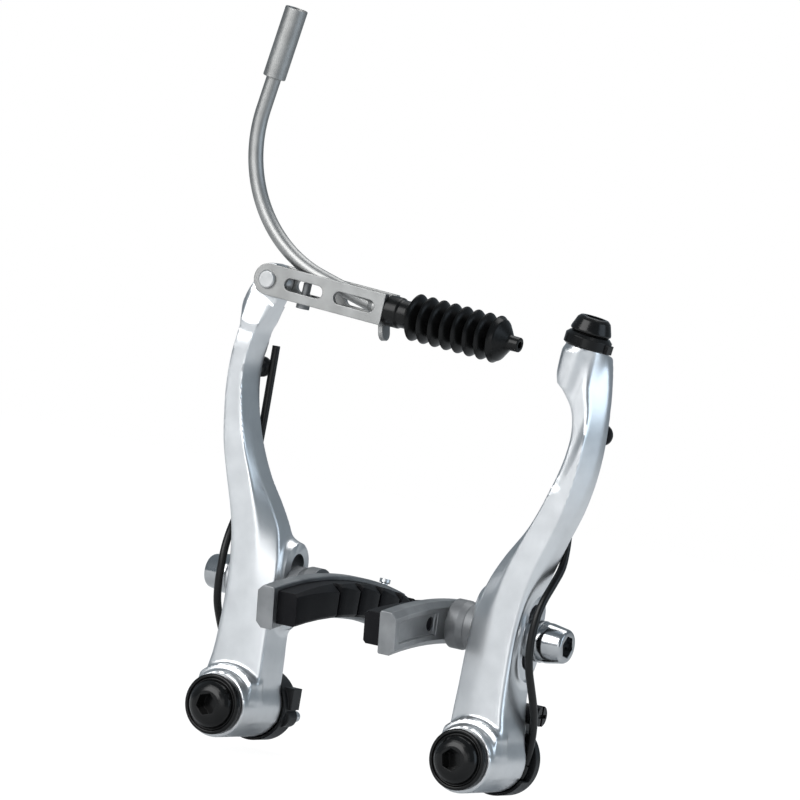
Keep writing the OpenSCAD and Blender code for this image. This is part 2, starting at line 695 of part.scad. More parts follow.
stop_pin_x = 9.4;
module link() {
    h = link_h / 2;
    color(steel) link_frame() difference() {
        union() {
            difference() {
                union() {
                    rod_y(0, 0, -plate_out, plate_out, h);
                    translate([0, -plate_out, -h]) cube([link_l, 2 * plate_out, link_h]);
                }
                translate([-h - cut, -plate_in, -h - cut])
                    cube([h + link_l - link_t + cut, 2 * plate_in, link_h + 2 * cut]);
            }
            translate([stop_pin_x - 2.8, -plate_in, -h]) cube([5.6, 2 * plate_in, link_t]);
            translate([link_l - link_t, 0, -h]) rotate([0, -14, 0]) union() {
                translate([0, -2, -2]) cube([link_t, 4, 2.6]);
                rod_x(0, -2, 0, link_t, 2);
            }
        }
        link_slot(4.9, 16);
        link_slot(19.2, 31);
        rod_y(0, 0, -plate_out - cut, plate_out + cut, rivet_d / 2 + seat_gap);
        translate([stop_pin_x, 0, -h - cut]) cylinder(h = link_t + 2 * cut, r = 1.07);
        rod_x(0, 0, link_l - link_t - 0.5, link_l + cut, nozzle_r + 0.25);
        translate([link_l - link_t - 0.5, -nozzle_r - 0.25, 0])
            cube([link_t + 1, 2 * nozzle_r + 0.5, h + cut]);
    }
}

module link_rivet() {
    r = rivet_d / 2;
    color(silver) link_frame() turned_y([
        [0, -plate_out - 0.9], [rivet_head_d / 2 - 0.3, -plate_out - 0.9],
        [rivet_head_d / 2, -plate_out - 0.6], [rivet_head_d / 2, -plate_out],
        [r, -plate_out], [r, plate_out], [rivet_head_d / 2, plate_out],
        [rivet_head_d / 2, plate_out + 0.6], [rivet_head_d / 2 - 0.3, plate_out + 0.9],
        [0, plate_out + 0.9]
    ]);
}

module link_stop_pin() {
    h = link_h / 2;
    color(grey) link_frame() translate([stop_pin_x, 0, -h]) union() {
        translate([0, 0, -1.3]) cylinder(h = 1.3, r = 1.7);
        cylinder(h = 5.2, r = 1.05);
    }
}

// Noodle, in the link's frame: nozzle and cone at the end plate, then the bent tube
nozzle_r = 1.6;
cone_x = link_l - link_t - 0.1;
cone_l = 2.6;
tilt = noodle_slope - link_slope;
module noodle_path_frame() {
    translate([cone_x - cone_l, 0, 0]) rotate([0, tilt, 0]) children();
}
// Straight run from the cone to the start of the bend
noodle_start = 17.3;
liner_r = 1.1;
bend_steps = 18;
// Middle line of the tube: straight run, bend by equal steps, straight run
noodle_route = concat(
    [[0, 0, 0], [-noodle_start / 2, 0, 0]],
    [for (k = [0:bend_steps])
        let (a = noodle_turn * k / bend_steps)
        [-noodle_start - noodle_r * sin(a), 0, noodle_r * (1 - cos(a))]],
    [for (l = [noodle_run / 2, noodle_run + 2])
        [-noodle_start - noodle_r * sin(noodle_turn) - l * cos(noodle_turn), 0,
         noodle_r * (1 - cos(noodle_turn)) + l * sin(noodle_turn)]]
);
module noodle_top_frame() {
    translate([-noodle_start - noodle_r * sin(noodle_turn), 0,
               noodle_r * (1 - cos(noodle_turn))])
        rotate([0, noodle_turn - 90, 0]) children();
}
module noodle_tube() {
    color(steel) link_frame() difference() {
        union() {
            turned_x([
                [0, cone_x - cone_l - 1.4], [noodle_d / 2 + 0.1, cone_x - cone_l - 1.4],
                [noodle_d / 2 + 0.5, cone_x - cone_l], [nozzle_r + 0.5, cone_x],
                [nozzle_r, cone_x], [nozzle_r, link_l + 2.6], [0, link_l + 2.6]
            ]);
            noodle_path_frame() swept(noodle_route, noodle_d / 2, 16);
        }
        rod_x(0, 0, cone_x - cone_l, link_l + 4, liner_r);
        noodle_path_frame() noodle_top_frame() translate([0, 0, noodle_run - 3])
            cylinder(h = 8, r = liner_r);
    }
}

module noodle_ferrule() {
    r = ferrule_d / 2;
    color(steel) link_frame() noodle_path_frame() noodle_top_frame()
        translate([0, 0, noodle_run]) difference() {
            rotate_extrude() polygon([
                [0, 0], [r - 0.15, 0], [r, 0.15], [r, ferrule_l - 0.15],
                [r - 0.15, ferrule_l], [0, ferrule_l]
            ]);
            translate([0, 0, -cut]) cylinder(h = cut + 2, r = noodle_d / 2 + seat_gap);
            translate([0, 0, 1]) cylinder(h = 3, r = liner_r);
            translate([0, 0, 3]) cylinder(h = ferrule_l, r = housing_socket_d / 2);
        }
}

// Boot: collar on the nozzle, rings of a bellows, cone and nipple
collar_r = 3.9;
neck_r = 3.4;
boot_start = link_l + 0.05;
module boot() {
    rings_end = boot_first + boot_rings * boot_pitch;
    outline = concat(
        [[nozzle_r + 0.05, 0], [collar_r, 0], [collar_r, 3.4], [collar_r - 0.4, 3.8],
         [collar_r - 0.4, boot_first - 0.4], [neck_r, boot_first - 0.2]],
        [for (k = [0:boot_rings - 1])
            let (x = boot_first + boot_pitch * k)
            each [[neck_r, x], [boot_d / 2 - 0.3, x + 1.1], [boot_d / 2, x + 1.4],
                  [boot_d / 2 - 0.3, x + 1.7]]],
        [[neck_r, rings_end - 0.4], [collar_r, rings_end], [1.9, rings_end + 3.4],
         [1.8, rings_end + 6.2], [0.9, rings_end + 6.2], [0.9, rings_end + 2.6],
         [2.3, rings_end - 0.6], [2.3, 3], [nozzle_r + 0.05, 3]]
    );
    color(black) link_frame() translate([boot_start, 0, 0])
        rotate([0, 90, 0]) rotate_extrude() polygon(outline);
}

module clamp_washer() {
    r = clamp_washer_d / 2;
    color(black) side(1) clamp_frame() difference() {
        union() {
            rotate_extrude() polygon([
                [0, 0], [r - 0.3, 0], [r, 0.3], [r, clamp_washer_t - 0.8],
                [r - 0.8, clamp_washer_t], [0, clamp_washer_t]
            ]);
            translate([r - 1.6, -1.4, 0]) cube([2.2, 2.8, 2.2]);
        }
        translate([0, 0, -3]) cylinder(h = clamp_washer_t + 4, r = cable_thread_d / 2 + 0.15);
    }
}

module cable_bolt() {
    r = cable_bolt_d / 2;
    t = clamp_washer_t;
    color(black) side(1) clamp_frame() difference() {
        rotate_extrude() polygon([
            [0, -cable_shank_l], [cable_thread_d / 2 - 0.6, -cable_shank_l],
            [cable_thread_d / 2, -cable_shank_l + 0.6], [cable_thread_d / 2, t],
            [r - 0.5, t], [r - 0.5, t + 0.3], [r, t + 0.5], [r, t + 1],
            [r - 0.9, t + cable_bolt_h - 0.7], [r - 1.5, t + cable_bolt_h], [0, t + cable_bolt_h]
        ]);
        translate([0, 0, t + 1]) cylinder(h = cable_bolt_h, r = hex_r, $fn = 6);
    }
}

left_arm();
pivot_sleeve(-1);  // left_pivot_sleeve
pivot_bolt(-1);  // left_pivot_bolt
spring_housing(-1);  // left_spring_housing
tension_screw(-1);  // left_tension_screw
stopper_pin(-1);  // left_stopper_pin
spring(-1);  // left_spring
spring_pin(-1);  // left_spring_pin
pad_holder(-1);  // left_pad_holder
pad_rubber(-1);  // left_pad_rubber
pad_pin(-1);  // left_pad_pin
pad_stud(-1);  // left_pad_stud
inner_dome_washer(-1);  // left_inner_dome_washer
inner_cup_washer(-1);  // left_inner_cup_washer
outer_cup_washer(-1);  // left_outer_cup_washer
outer_dome_washer(-1);  // left_outer_dome_washer
pad_nut(-1);  // left_pad_nut
right_arm();
pivot_sleeve(1);  // right_pivot_sleeve
pivot_bolt(1);  // right_pivot_bolt
spring_housing(1);  // right_spring_housing
tension_screw(1);  // right_tension_screw
stopper_pin(1);  // right_stopper_pin
spring(1);  // right_spring
spring_pin(1);  // right_spring_pin
pad_holder(1);  // right_pad_holder
pad_rubber(1);  // right_pad_rubber
pad_pin(1);  // right_pad_pin
pad_stud(1);  // right_pad_stud
inner_dome_washer(1);  // right_inner_dome_washer
inner_cup_washer(1);  // right_inner_cup_washer
outer_cup_washer(1);  // right_outer_cup_washer
outer_dome_washer(1);  // right_outer_dome_washer
pad_nut(1);  // right_pad_nut
link();
link_rivet();
link_stop_pin();
noodle_tube();
noodle_ferrule();
boot();
clamp_washer();
cable_bolt();
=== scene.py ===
import json

import bpy
import numpy as np
from mathutils import Matrix, Vector


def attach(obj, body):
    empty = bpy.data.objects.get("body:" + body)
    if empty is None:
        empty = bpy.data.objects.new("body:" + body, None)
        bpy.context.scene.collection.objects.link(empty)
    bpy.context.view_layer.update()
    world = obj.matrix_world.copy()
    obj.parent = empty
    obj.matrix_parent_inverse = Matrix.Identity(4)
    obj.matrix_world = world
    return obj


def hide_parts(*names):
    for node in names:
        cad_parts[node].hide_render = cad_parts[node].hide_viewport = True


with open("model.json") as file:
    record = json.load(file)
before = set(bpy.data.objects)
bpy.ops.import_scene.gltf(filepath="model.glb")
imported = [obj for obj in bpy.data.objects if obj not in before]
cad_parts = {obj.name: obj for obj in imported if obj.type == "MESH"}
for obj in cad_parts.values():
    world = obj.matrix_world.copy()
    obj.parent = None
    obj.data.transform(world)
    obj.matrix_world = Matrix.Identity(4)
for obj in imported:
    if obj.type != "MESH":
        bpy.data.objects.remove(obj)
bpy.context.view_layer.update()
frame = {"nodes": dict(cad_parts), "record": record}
for old in [o for o in bpy.data.objects if o.type in {"LIGHT", "CAMERA"}]:
    bpy.data.objects.remove(old)

RECORD = frame["record"]
SLOT = {p["node"]: p["material_slot"] for p in RECORD["subparts"]}
BODY = {node: body for body, nodes in RECORD["behaviour"]["bodies"].items() for node in nodes}

# Places in millimetres, as in the part's source: x outwards from an arm's pivot, y to the back, z up

MM = 0.001
PIVOT_OUT = 35.0  # half the distance between the pivots
MID_Y = -1.0  # middle of the link, the tang and the clamp
RIVET_X, RIVET_Z, RIVET_R = 9.0, 106.0, 1.64
TANG_HALF = 2.5  # half the tang's thickness
LINK_DOWN = 3.5  # degrees that the link hangs at rest
LINK_SWING = 28.0  # degrees that it turns further down
LINK_ROOM = 4.45  # half the link's height, and some air
STUD_Y, STUD_Z = 4.5, 31.0  # the pad stud at rest
SLOT_Z, SLOT_HALF = 31.5, 5.0  # middle of the stud's slot, and half the way between its round ends
SLOT_R, WASHER_ROOM = 3.15, 6.2  # of the round ends of the slot and of the seats
WASHER_IN, WASHER_OUT = -7.96, 5.76  # floors of the seats for the cup washers
KNOB_X, KNOB_Z, KNOB_R = 13.7, 83.5, 1.22  # hole for the knob that the spring pushes
SEAT_X, SEAT_Z, SEAT_LEAN = 9.8, 104.3, 8.0  # where the cable clamp sits, and its lean in degrees
BARREL_Y, BARREL_HALF, BARREL_R, SLEEVE_R = -1.5, 9.5, 8.3, 5.54  # round the pivot
BOSS_X, BOSS_HALF, BOSS_R = -1.1, 6.9, 5.8  # round the slot
BORE_R = 3.02  # for an M6 thread
HEX_R = 5 / 3**0.5  # corner of a hexagon 5 across its flats
SIDES = {-1: "left", 1: "right"}


def rad(a):
    return a * np.pi / 180


LEAN = np.array([np.sin(rad(SEAT_LEAN)), 0, np.cos(rad(SEAT_LEAN))])
SEAT = np.array([SEAT_X, MID_Y, SEAT_Z])


# Camera: the photograph's view, from the front left, rolled so that the object leans to the right

VIEW_SIDE, VIEW_ABOVE, VIEW_ROLL = rad(28), rad(3.2), rad(9.7)
DISTANCE = 1.8
PICTURE = 0.1982  # metres across the picture at the object
level = np.array([np.cos(VIEW_SIDE), np.sin(VIEW_SIDE), 0])
away = np.array([-np.sin(VIEW_SIDE), np.cos(VIEW_SIDE), 0])
upright = away * np.sin(VIEW_ABOVE) + [0, 0, np.cos(VIEW_ABOVE)]
look = away * np.cos(VIEW_ABOVE) - [0, 0, np.sin(VIEW_ABOVE)]
right = level * np.cos(VIEW_ROLL) + upright * np.sin(VIEW_ROLL)
up = upright * np.cos(VIEW_ROLL) - level * np.sin(VIEW_ROLL)
centre = (10.45 * right + 82.0 * up) * MM

camera = bpy.data.cameras.new("camera")
camera.sensor_width = 36
camera.lens = 36 * DISTANCE / PICTURE
camera.clip_start = 0.1
camera.clip_end = 10
eye = bpy.data.objects.new("camera", camera)
bpy.context.scene.collection.objects.link(eye)
turn = Matrix([[right[i], up[i], -look[i]] for i in range(3)]).to_4x4()
eye.matrix_world = Matrix.Translation(Vector(centre - look * DISTANCE)) @ turn
bpy.context.scene.camera = eye
bpy.context.scene.view_settings.view_transform = "Standard"


# Materials


class Value:
    """A shader socket that takes Python's operators; each one adds a Math node."""

    def __init__(self, graph, socket):
        self.graph, self.socket = graph, socket

    def math(self, operation, other):
        sockets = {0: self, 1: other}
        return Value(self.graph, self.graph.node("ShaderNodeMath", {"operation": operation}, sockets))

    def __add__(self, other):
        return self.math("ADD", other)

    def __mul__(self, other):
        return self.math("MULTIPLY", other)

    def __sub__(self, other):
        return self.math("SUBTRACT", other)

    def __rsub__(self, other):
        return self * -1 + other

    __radd__, __rmul__ = __add__, __mul__

    def ramp(self, low, high):
        """0 below low, 1 above high, and straight between them."""
        t = (self - low) * (1 / (high - low))
        return t.math("MAXIMUM", 0.0).math("MINIMUM", 1.0)


class Graph:
    """The shader nodes of one material or world."""

    def __init__(self, owner):
        owner.use_nodes = True
        self.tree = owner.node_tree
        self.tree.nodes.clear()

    def feed(self, socket, v):
        """Links a value or a socket into a socket, or sets it to a number or a colour."""
        if isinstance(v, Value):
            v = v.socket
        if isinstance(v, bpy.types.NodeSocket):
            self.tree.links.new(v, socket)
        else:
            socket.default_value = (*v, 1) if isinstance(v, tuple) else v

    def node(self, kind, settings=None, sockets=None, output=0):
        """Adds a node, its settings first and then its sockets by name or number, and gives one output."""
        node = self.tree.nodes.new(kind)
        for key, v in (settings or {}).items():
            setattr(node, key, v)
        for key, v in (sockets or {}).items():
            self.feed(node.inputs[key], v)
        return node.outputs[output] if node.outputs else None

    def noise(self, size, detail):
        """Noise from 0 to 1 over the object's own coordinates, its blobs about size metres across."""
        at = self.node("ShaderNodeTexCoord", output="Object")
        sockets = {"Vector": at, "Scale": 1 / size, "Detail": detail}
        return Value(self, self.node("ShaderNodeTexNoise", {}, sockets, "Fac"))

    def mix(self, factor, a, b):
        return self.node("ShaderNodeMix", {"data_type": "RGBA"}, {0: factor, 6: a, 7: b}, 2)

    def relief(self, height, strength, distance, edge):
        """Normals with edges rounded over edge mm, and a bump on them."""
        sockets = {"Height": height, "Strength": strength, "Distance": distance}
        if edge:
            sockets["Normal"] = self.node("ShaderNodeBevel", {"samples": 6}, {"Radius": edge * MM})
        return self.node("ShaderNodeBump", {}, sockets)

    def principled(self, sockets):
        shader = self.node("ShaderNodeBsdfPrincipled", {}, sockets)
        self.node("ShaderNodeOutputMaterial", {}, {"Surface": shader})


def metal(name, low, high, rough, spread, grain, edge):
    """Metal whose colour and roughness drift, with a fine grain and edges rounded over edge mm."""
    material = bpy.data.materials.new(name)
    g = Graph(material)
    drift = g.noise(0.006, 3.0)
    fine = g.noise(0.00025, 2.0)
    g.principled(
        {
            "Base Color": g.mix(drift.ramp(0.35, 0.65), low, high),
            "Metallic": 1.0,
            "Roughness": rough + spread * (drift - 0.5) + 0.25 * spread * (fine - 0.5),
            "Normal": g.relief(fine, grain, 0.00005, edge),
        }
    )
    return material


def black(name, low, high, rough, spread, grain, edge, shine):
    """Plastic, rubber or coating with a fine moulded grain; shine is how much it reflects."""
    material = bpy.data.materials.new(name)
    g = Graph(material)
    drift = g.noise(0.005, 4.0)
    fine = g.noise(0.0004, 3.0)
    g.principled(
        {
            "Base Color": g.mix(drift.ramp(0.3, 0.7), low, high),
            "Roughness": rough + spread * (drift - 0.5),
            "Specular IOR Level": shine,
            "Normal": g.relief(fine, grain, 0.0001, edge),
        }
    )
    return material


# Darker and lighter colour, roughness and its spread, grain, edge radius in mm, and the blacks' shine
METALS = {
    "polished_arm": ((0.63, 0.64, 0.65), (0.69, 0.70, 0.71), 0.31, 0.06, 0.05, 0),
    "satin_aluminium": ((0.25, 0.255, 0.26), (0.32, 0.325, 0.33), 0.44, 0.10, 0.25, 0.35),
    "matte_steel": ((0.28, 0.28, 0.275), (0.34, 0.34, 0.335), 0.45, 0.10, 0.06, 0.3),
    "zinc_steel": ((0.50, 0.51, 0.52), (0.60, 0.61, 0.62), 0.30, 0.10, 0.10, 0.25),
    "satin_rivet": ((0.42, 0.43, 0.43), (0.50, 0.50, 0.50), 0.40, 0.10, 0.15, 0.25),
    "chrome_nut": ((0.38, 0.39, 0.40), (0.46, 0.47, 0.48), 0.16, 0.05, 0.0, 0.25),
    "grey_washer": ((0.18, 0.185, 0.19), (0.23, 0.235, 0.24), 0.58, 0.10, 0.40, 0.25),
}
BLACKS = {
    "black_bolt": ((0.002, 0.002, 0.002), (0.005, 0.005, 0.005), 0.22, 0.08, 0.02, 0.2, 0.26),
    "black_spring": ((0.002, 0.002, 0.002), (0.004, 0.004, 0.004), 0.32, 0.10, 0.04, 0, 0.28),
    "black_plastic": ((0.004, 0.004, 0.005), (0.010, 0.011, 0.012), 0.46, 0.10, 0.10, 0.45, 0.3),
    "pad_rubber": ((0.001, 0.001, 0.002), (0.004, 0.004, 0.005), 0.55, 0.12, 0.30, 0.25, 0.16),
    "boot_rubber": ((0.001, 0.001, 0.001), (0.003, 0.003, 0.003), 0.30, 0.10, 0.04, 0, 0.24),
}
FINISH = {name: metal(name, *values) for name, values in METALS.items()}
FINISH.update({name: black(name, *values) for name, values in BLACKS.items()})

for name, o in frame["nodes"].items():
    o.data.materials.clear()
    o.data.materials.append(FINISH[SLOT[name]])


# Meshes, each a list of points in millimetres and a list of faces


def make(name, points, faces, side=0):
    """Smooth shaded object. Side 1 is at the right pivot, -1 mirrored at the left one, and 0 leaves it."""
    p = np.array(points, float)
    if side:
        p[:, 0] = side * (PIVOT_OUT + p[:, 0])
    if side < 0:
        faces = [f[::-1] for f in faces]
    mesh = bpy.data.meshes.new(name)
    mesh.from_pydata((p * MM).tolist(), [], [list(map(int, f)) for f in faces])
    mesh.update()
    mesh.shade_smooth()
    mesh.set_sharp_from_angle(angle=rad(35))
    o = bpy.data.objects.new(name, mesh)
    bpy.context.scene.collection.objects.link(o)
    return o


def show(o, finish, node):
    """Gives a finished piece its material, and puts it in a CAD node's place, on that node's body."""
    o.data.materials.clear()
    o.data.materials.append(FINISH[finish])
    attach(o, BODY[node])
    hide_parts(node)


def cut(o, *cutters):
    """Takes the cutters away from an object, which keeps a plain mesh."""
    for cutter in cutters:
        m = o.modifiers.new("cut", "BOOLEAN")
        m.operation, m.solver, m.object = "DIFFERENCE", "MANIFOLD", cutter
    bpy.context.view_layer.update()
    mesh = bpy.data.meshes.new_from_object(o.evaluated_get(bpy.context.evaluated_depsgraph_get()))
    o.modifiers.clear()
    old, o.data = o.data, mesh
    bpy.data.meshes.remove(old)
    for cutter in cutters:
        bpy.data.objects.remove(cutter)
    o.data.shade_smooth()
    o.data.set_sharp_from_angle(angle=rad(32))


def rings(points):
    """Mesh through an array (ring, point, 3): quads between neighbouring rings, and a face on each end."""
    m, n = points.shape[:2]
    i = np.arange(m * n).reshape(m, n)
    j = np.roll(i, -1, 1)
    quads = np.stack([i[:-1], j[:-1], j[1:], i[1:]], -1).reshape(-1, 4).tolist()
    return points.reshape(-1, 3), [*quads, i[0][::-1].tolist(), i[-1].tolist()]


def merge(*meshes):
    points, faces, k = [], [], 0
    for p, f in meshes:
        points.append(p)
        faces += [[i + k for i in face] for face in f]
        k += len(p)
    return np.vstack(points), faces


def tube(path, radius, n):
    """Tube round a path: ring k is path[k] + radius (cos w a + sin w b), with a carried along untwisted."""
    p = np.array(path, float)
    t = np.gradient(p, axis=0)
    t /= np.linalg.norm(t, axis=1)[:, None]
    a = np.cross([0.1, 1, 0.05], t[0])
    w = 2 * np.pi * np.arange(n)[:, None] / n
    out = []
    for k in range(len(p)):
        a = a - t[k] * (a @ t[k])
        a /= np.linalg.norm(a)
        out.append(p[k] + radius * (np.cos(w) * a + np.sin(w) * np.cross(t[k], a)))
    return rings(np.array(out))


def smooth_path(points, steps=8):
    """Catmull-Rom curve through the points, in steps steps between each two of them."""
    p = np.array(points, float)
    q = np.vstack([2 * p[0] - p[1], p, 2 * p[-1] - p[-2]])
    t = np.linspace(0, 1, steps, endpoint=False)[:, None]
    out = []
    for a, b, c, d in zip(q, q[1:], q[2:], q[3:]):
        square, cube = 2 * a - 5 * b + 4 * c - d, 3 * b - a - 3 * c + d
        out.append(0.5 * (2 * b + (c - a) * t + square * t**2 + cube * t**3))
    return np.vstack([*out, p[-1:]])


def revolve(profile, start, along, n):
    """Body turned from (radius, distance) pairs about a line, distances from start, n points round."""
    p = np.array(profile, float)
    d = np.array(along, float)
    d /= np.linalg.norm(d)
    a = np.cross(d, [0.3, 0.2, 1.0] if abs(d[2]) < 0.9 else [1.0, 0, 0])
    a /= np.linalg.norm(a)
    w = 2 * np.pi * np.arange(n)[:, None] / n
    circle = np.cos(w) * a + np.sin(w) * np.cross(d, a)
    return rings(np.array(start, float) + p[:, 1, None, None] * d + p[:, 0, None, None] * circle)


def revolve_loop(profile, start, along, n):
    """As revolve, but the profile is a loop, so the body has a bore and no end faces."""
    points, faces = revolve(profile, start, along, n)
    i = np.arange(len(points)).reshape(-1, n)
    j = np.roll(i, -1, 1)
    return points, faces[:-2] + np.stack([i[-1], j[-1], j[0], i[0]], -1).tolist()


def rounded(points, r, n=5):
    """Profile with its inner corners rounded by n steps of a quadratic curve that starts r before each."""
    p = np.array(points, float)
    out = [p[:1]]
    t = np.linspace(0, 1, n + 1)[:, None]
    for a, b, c in zip(p, p[1:], p[2:]):
        back, on = a - b, c - b
        to_last, to_next = np.linalg.norm(back), np.linalg.norm(on)
        reach = min(r, to_last / 2, to_next / 2)
        start, end = b + reach * back / to_last, b + reach * on / to_next
        out.append((1 - t) ** 2 * start + 2 * t * (1 - t) * b + t**2 * end)
    return np.vstack([*out, p[-1:]])


def rod(side, p, q, r, n=72):
    """Round cutter from p to q."""
    d = np.array(q, float) - p
    return make("cutter", *revolve([(r, 0), (r, np.linalg.norm(d))], p, d, n), side)


def hexagon(side, start, along, depth):
    """Cutter for a socket, from 1 in front of start to depth behind it."""
    return make("cutter", *revolve([(HEX_R, -1), (HEX_R, depth)], start, along, 6), side)


# Arms: one smooth skin round the body, the pivot barrel, the pad boss and the head

# z, outer edge, inner edge, front, back, inner facet (x on the front, y on the side), outer facet
LOW = [
    [-3, 7.2, -7.2, -6.2, 7.2, -2.2, -4.8, 6.4, -5.4],
    [4, 7.7, -7.7, -6.2, 7.2, -2.2, -4.8, 6.9, -5.4],
    [8, 7.4, -7.7, -6.1, 7.2, -2.2, -4.8, 6.6, -5.3],
    [12, 6.7, -7.6, -6.0, 7.2, -2.2, -4.7, 5.9, -5.2],
    [17, 6.3, -7.4, -5.9, 7.0, -2.1, -4.6, 5.5, -5.1],
    [24, 6.1, -7.3, -5.8, 7.0, -2.0, -4.4, 5.3, -5.0],
    [31, 6.2, -7.2, -5.7, 6.4, -1.8, -4.0, 5.3, -4.8],
    [37, 6.7, -6.6, -5.6, 5.8, -1.2, -3.4, 5.8, -4.6],
    [42, 7.5, -5.6, -5.6, 5.0, -0.4, -2.6, 6.5, -4.3],
    [46, 8.6, -4.2, -5.6, 4.4, 0.4, -2.2, 7.5, -3.8],
    [51, 10.3, -1.4, -5.6, 3.9, 2.0, -2.4, 9.1, -3.0],
    [57, 12.5, 2.6, -5.5, 3.5, 4.3, -2.6, 11.2, -2.0],
    [64, 15.0, 6.2, -5.5, 3.4, 7.2, -2.0, 13.3, -1.0],
    [71, 16.6, 8.8, -5.4, 3.4, 9.4, -1.2, 14.6, 0.2],
    [78, 17.4, 10.4, -5.4, 3.4, 10.9, -0.6, 15.4, 1.0],
    [84, 17.5, 10.8, -5.4, 3.4, 11.3, -0.4, 15.5, 1.4],
]
LEFT = LOW + [
    [90, 16.9, 9.9, -5.3, 3.2, 10.5, -0.6, 15.0, 1.2],
    [95, 16.0, 9.0, -4.6, 2.6, 9.6, -0.9, 14.4, 0.6],
    [99, 15.0, 8.2, -3.9, 1.9, 8.8, -1.1, 13.6, 0.0],
    [101.5, 14.2, 7.4, -3.6, 1.6, 8.0, -1.2, 12.9, -0.3],
]
RIGHT = LOW + [
    [89, 17.3, 9.4, -5.5, 3.5, 10.2, -1.6, 14.6, 1.6],
    [93, 16.9, 6.9, -5.7, 3.7, 8.0, -2.8, 13.4, 1.8],
    [96.5, 16.4, 4.8, -5.8, 3.9, 6.2, -3.4, 12.6, 1.8],
    [100, 15.8, 4.7, -5.9, 4.0, 6.2, -3.4, 12.2, 1.4],
    [103, 15.1, 5.1, -5.9, 4.0, 6.5, -3.4, 12.0, 1.0],
]
FACE_Y = -5.6  # the right head's front face


def cubic(table, z, column):
    """Value at height z of the cubic through a column of stations, its slopes taken from neighbours."""
    t = np.array(table, float)
    x, y = t[:, 0], t[:, column]
    i = np.clip(np.searchsorted(x, z) - 1, 0, len(x) - 2)
    m = np.empty(len(x))
    m[1:-1] = (y[2:] - y[:-2]) / (x[2:] - x[:-2])
    m[0] = (y[1] - y[0]) / (x[1] - x[0])
    m[-1] = (y[-1] - y[-2]) / (x[-1] - x[-2])
    h = x[i + 1] - x[i]
    s = np.clip((z - x[i]) / h, -0.5, 1.5)
    ahead = 3 * s**2 - 2 * s**3
    return (
        (1 - ahead) * y[i]
        + (s**3 - 2 * s**2 + s) * h * m[i]
        + ahead * y[i + 1]
        + (s**3 - s**2) * h * m[i + 1]
    )


def blend_low(a, b, k):
    """Smaller of two distances, min(a, b) - k h^2 / 4 with h = max(0, 1 - |a - b| / k), so round over k."""
    h = np.maximum(k - np.abs(a - b), 0) / k
    return np.minimum(a, b) - h * h * k / 4


def blend_high(a, b, k):
    return -blend_low(-a, -b, k)


def facet(x, y, way):
    """Plane through (x, -1) and (way, y) in half widths: its outward direction, and how far out it is."""
    n = np.stack([way * (1 + y), x * way - 1])
    length = np.hypot(*n)
    return n[0] / length, n[1] / length, np.abs(n[0] * x - n[1]) / length


def body(table, x, y, z):
    """Distance to the body: (power mean of its six planes in half widths, - 1) times the half width."""
    power = 30
    low, high = table[0][0], table[-1][0]
    at = np.clip(z, low, high)
    outer, inner, front, back, ax, ay, bx, by = (cubic(table, at, c) for c in range(1, 9))
    hx, hy = (outer - inner) / 2, (back - front) / 2
    mx, my = (outer + inner) / 2, (back + front) / 2
    u, v = (x - mx) / hx, (y - my) / hy
    planes = [(1, 0, 1), (0, 1, 1), (-1, 0, 1), (0, -1, 1)]
    planes.append(facet((ax - mx) / hx, (ay - my) / hy, -1))
    planes.append(facet((bx - mx) / hx, (by - my) / hy, 1))
    total = sum(np.maximum((a * u + b * v) / h, 0) ** power for a, b, h in planes)
    d = (total ** (1 / power) - 1) * np.minimum(hx, hy)
    return blend_high(blend_high(d, low - z, 0.8), z - high, 3.0 if table is LEFT else 0.8)


def barrel(x, y, z):
    """Round the pivot."""
    return blend_high(np.hypot(x, z) - BARREL_R, np.abs(y - BARREL_Y) - BARREL_HALF, 0.5)


def boss(x, y, z):
    """Round the stud's slot: a bar with round ends, upright, between its two seats."""
    d = np.hypot(y - STUD_Y, np.maximum(np.abs(z - SLOT_Z) - SLOT_HALF, 0)) - BOSS_R
    return blend_high(d, np.abs(x - BOSS_X) - BOSS_HALF, 0.5)


def lip(x, y, z):
    """Step over the pivot bolt: the upper part of a wider ring in front of the body."""
    d = blend_high(np.hypot(x, z) - 10.1, -8.3 - y, 0.7)
    d = blend_high(d, np.abs(x) - 7.6, 0.5)
    return blend_high(blend_high(d, y + 3, 0.5), 2.5 - z, 0.8)


def tang(x, y, z):
    """Flat bar from the rivet down into the left arm, round at the rivet and narrower below."""
    right_by, down_by = 2.6, 7.0
    along = (x - RIVET_X) * right_by - (z - RIVET_Z) * down_by
    t = np.clip(along / (right_by**2 + down_by**2), 0, 1)
    d = np.hypot(x - RIVET_X - right_by * t, z - RIVET_Z + down_by * t) - 4.15 + 0.75 * t
    return blend_high(d, np.abs(y - MID_Y) - TANG_HALF, 0.4)


def clamp_head(x, y, z):
    """Cone that leans with the cable clamp: its radius is 5 at the seat and a tenth less each mm down."""
    c, s = np.cos(rad(SEAT_LEAN)), np.sin(rad(SEAT_LEAN))
    aside = (x - SEAT_X) * c - (z - SEAT_Z) * s
    above = (x - SEAT_X) * s + (z - SEAT_Z) * c
    d = np.hypot(aside, y - MID_Y) - 5.0 + 0.1 * np.maximum(-above - 2, 0)
    return blend_high(d, np.abs(above + 5) - 5.2, 0.4)


def carve(d, x, y, z, p, q, r, depth):
    """Cuts a flute of radius r, depth (1 - t^3) deep, into the front face along p to q, given by x and z."""
    ux, uz = q[0] - p[0], q[1] - p[1]
    t = np.clip(((x - p[0]) * ux + (z - p[1]) * uz) / (ux**2 + uz**2), 0, 1)
    aside = np.hypot(x - p[0] - t * ux, z - p[1] - t * uz)
    return blend_high(d, r - np.hypot(aside, y - FACE_Y + r - depth * (1 - t**3)), 1.5)


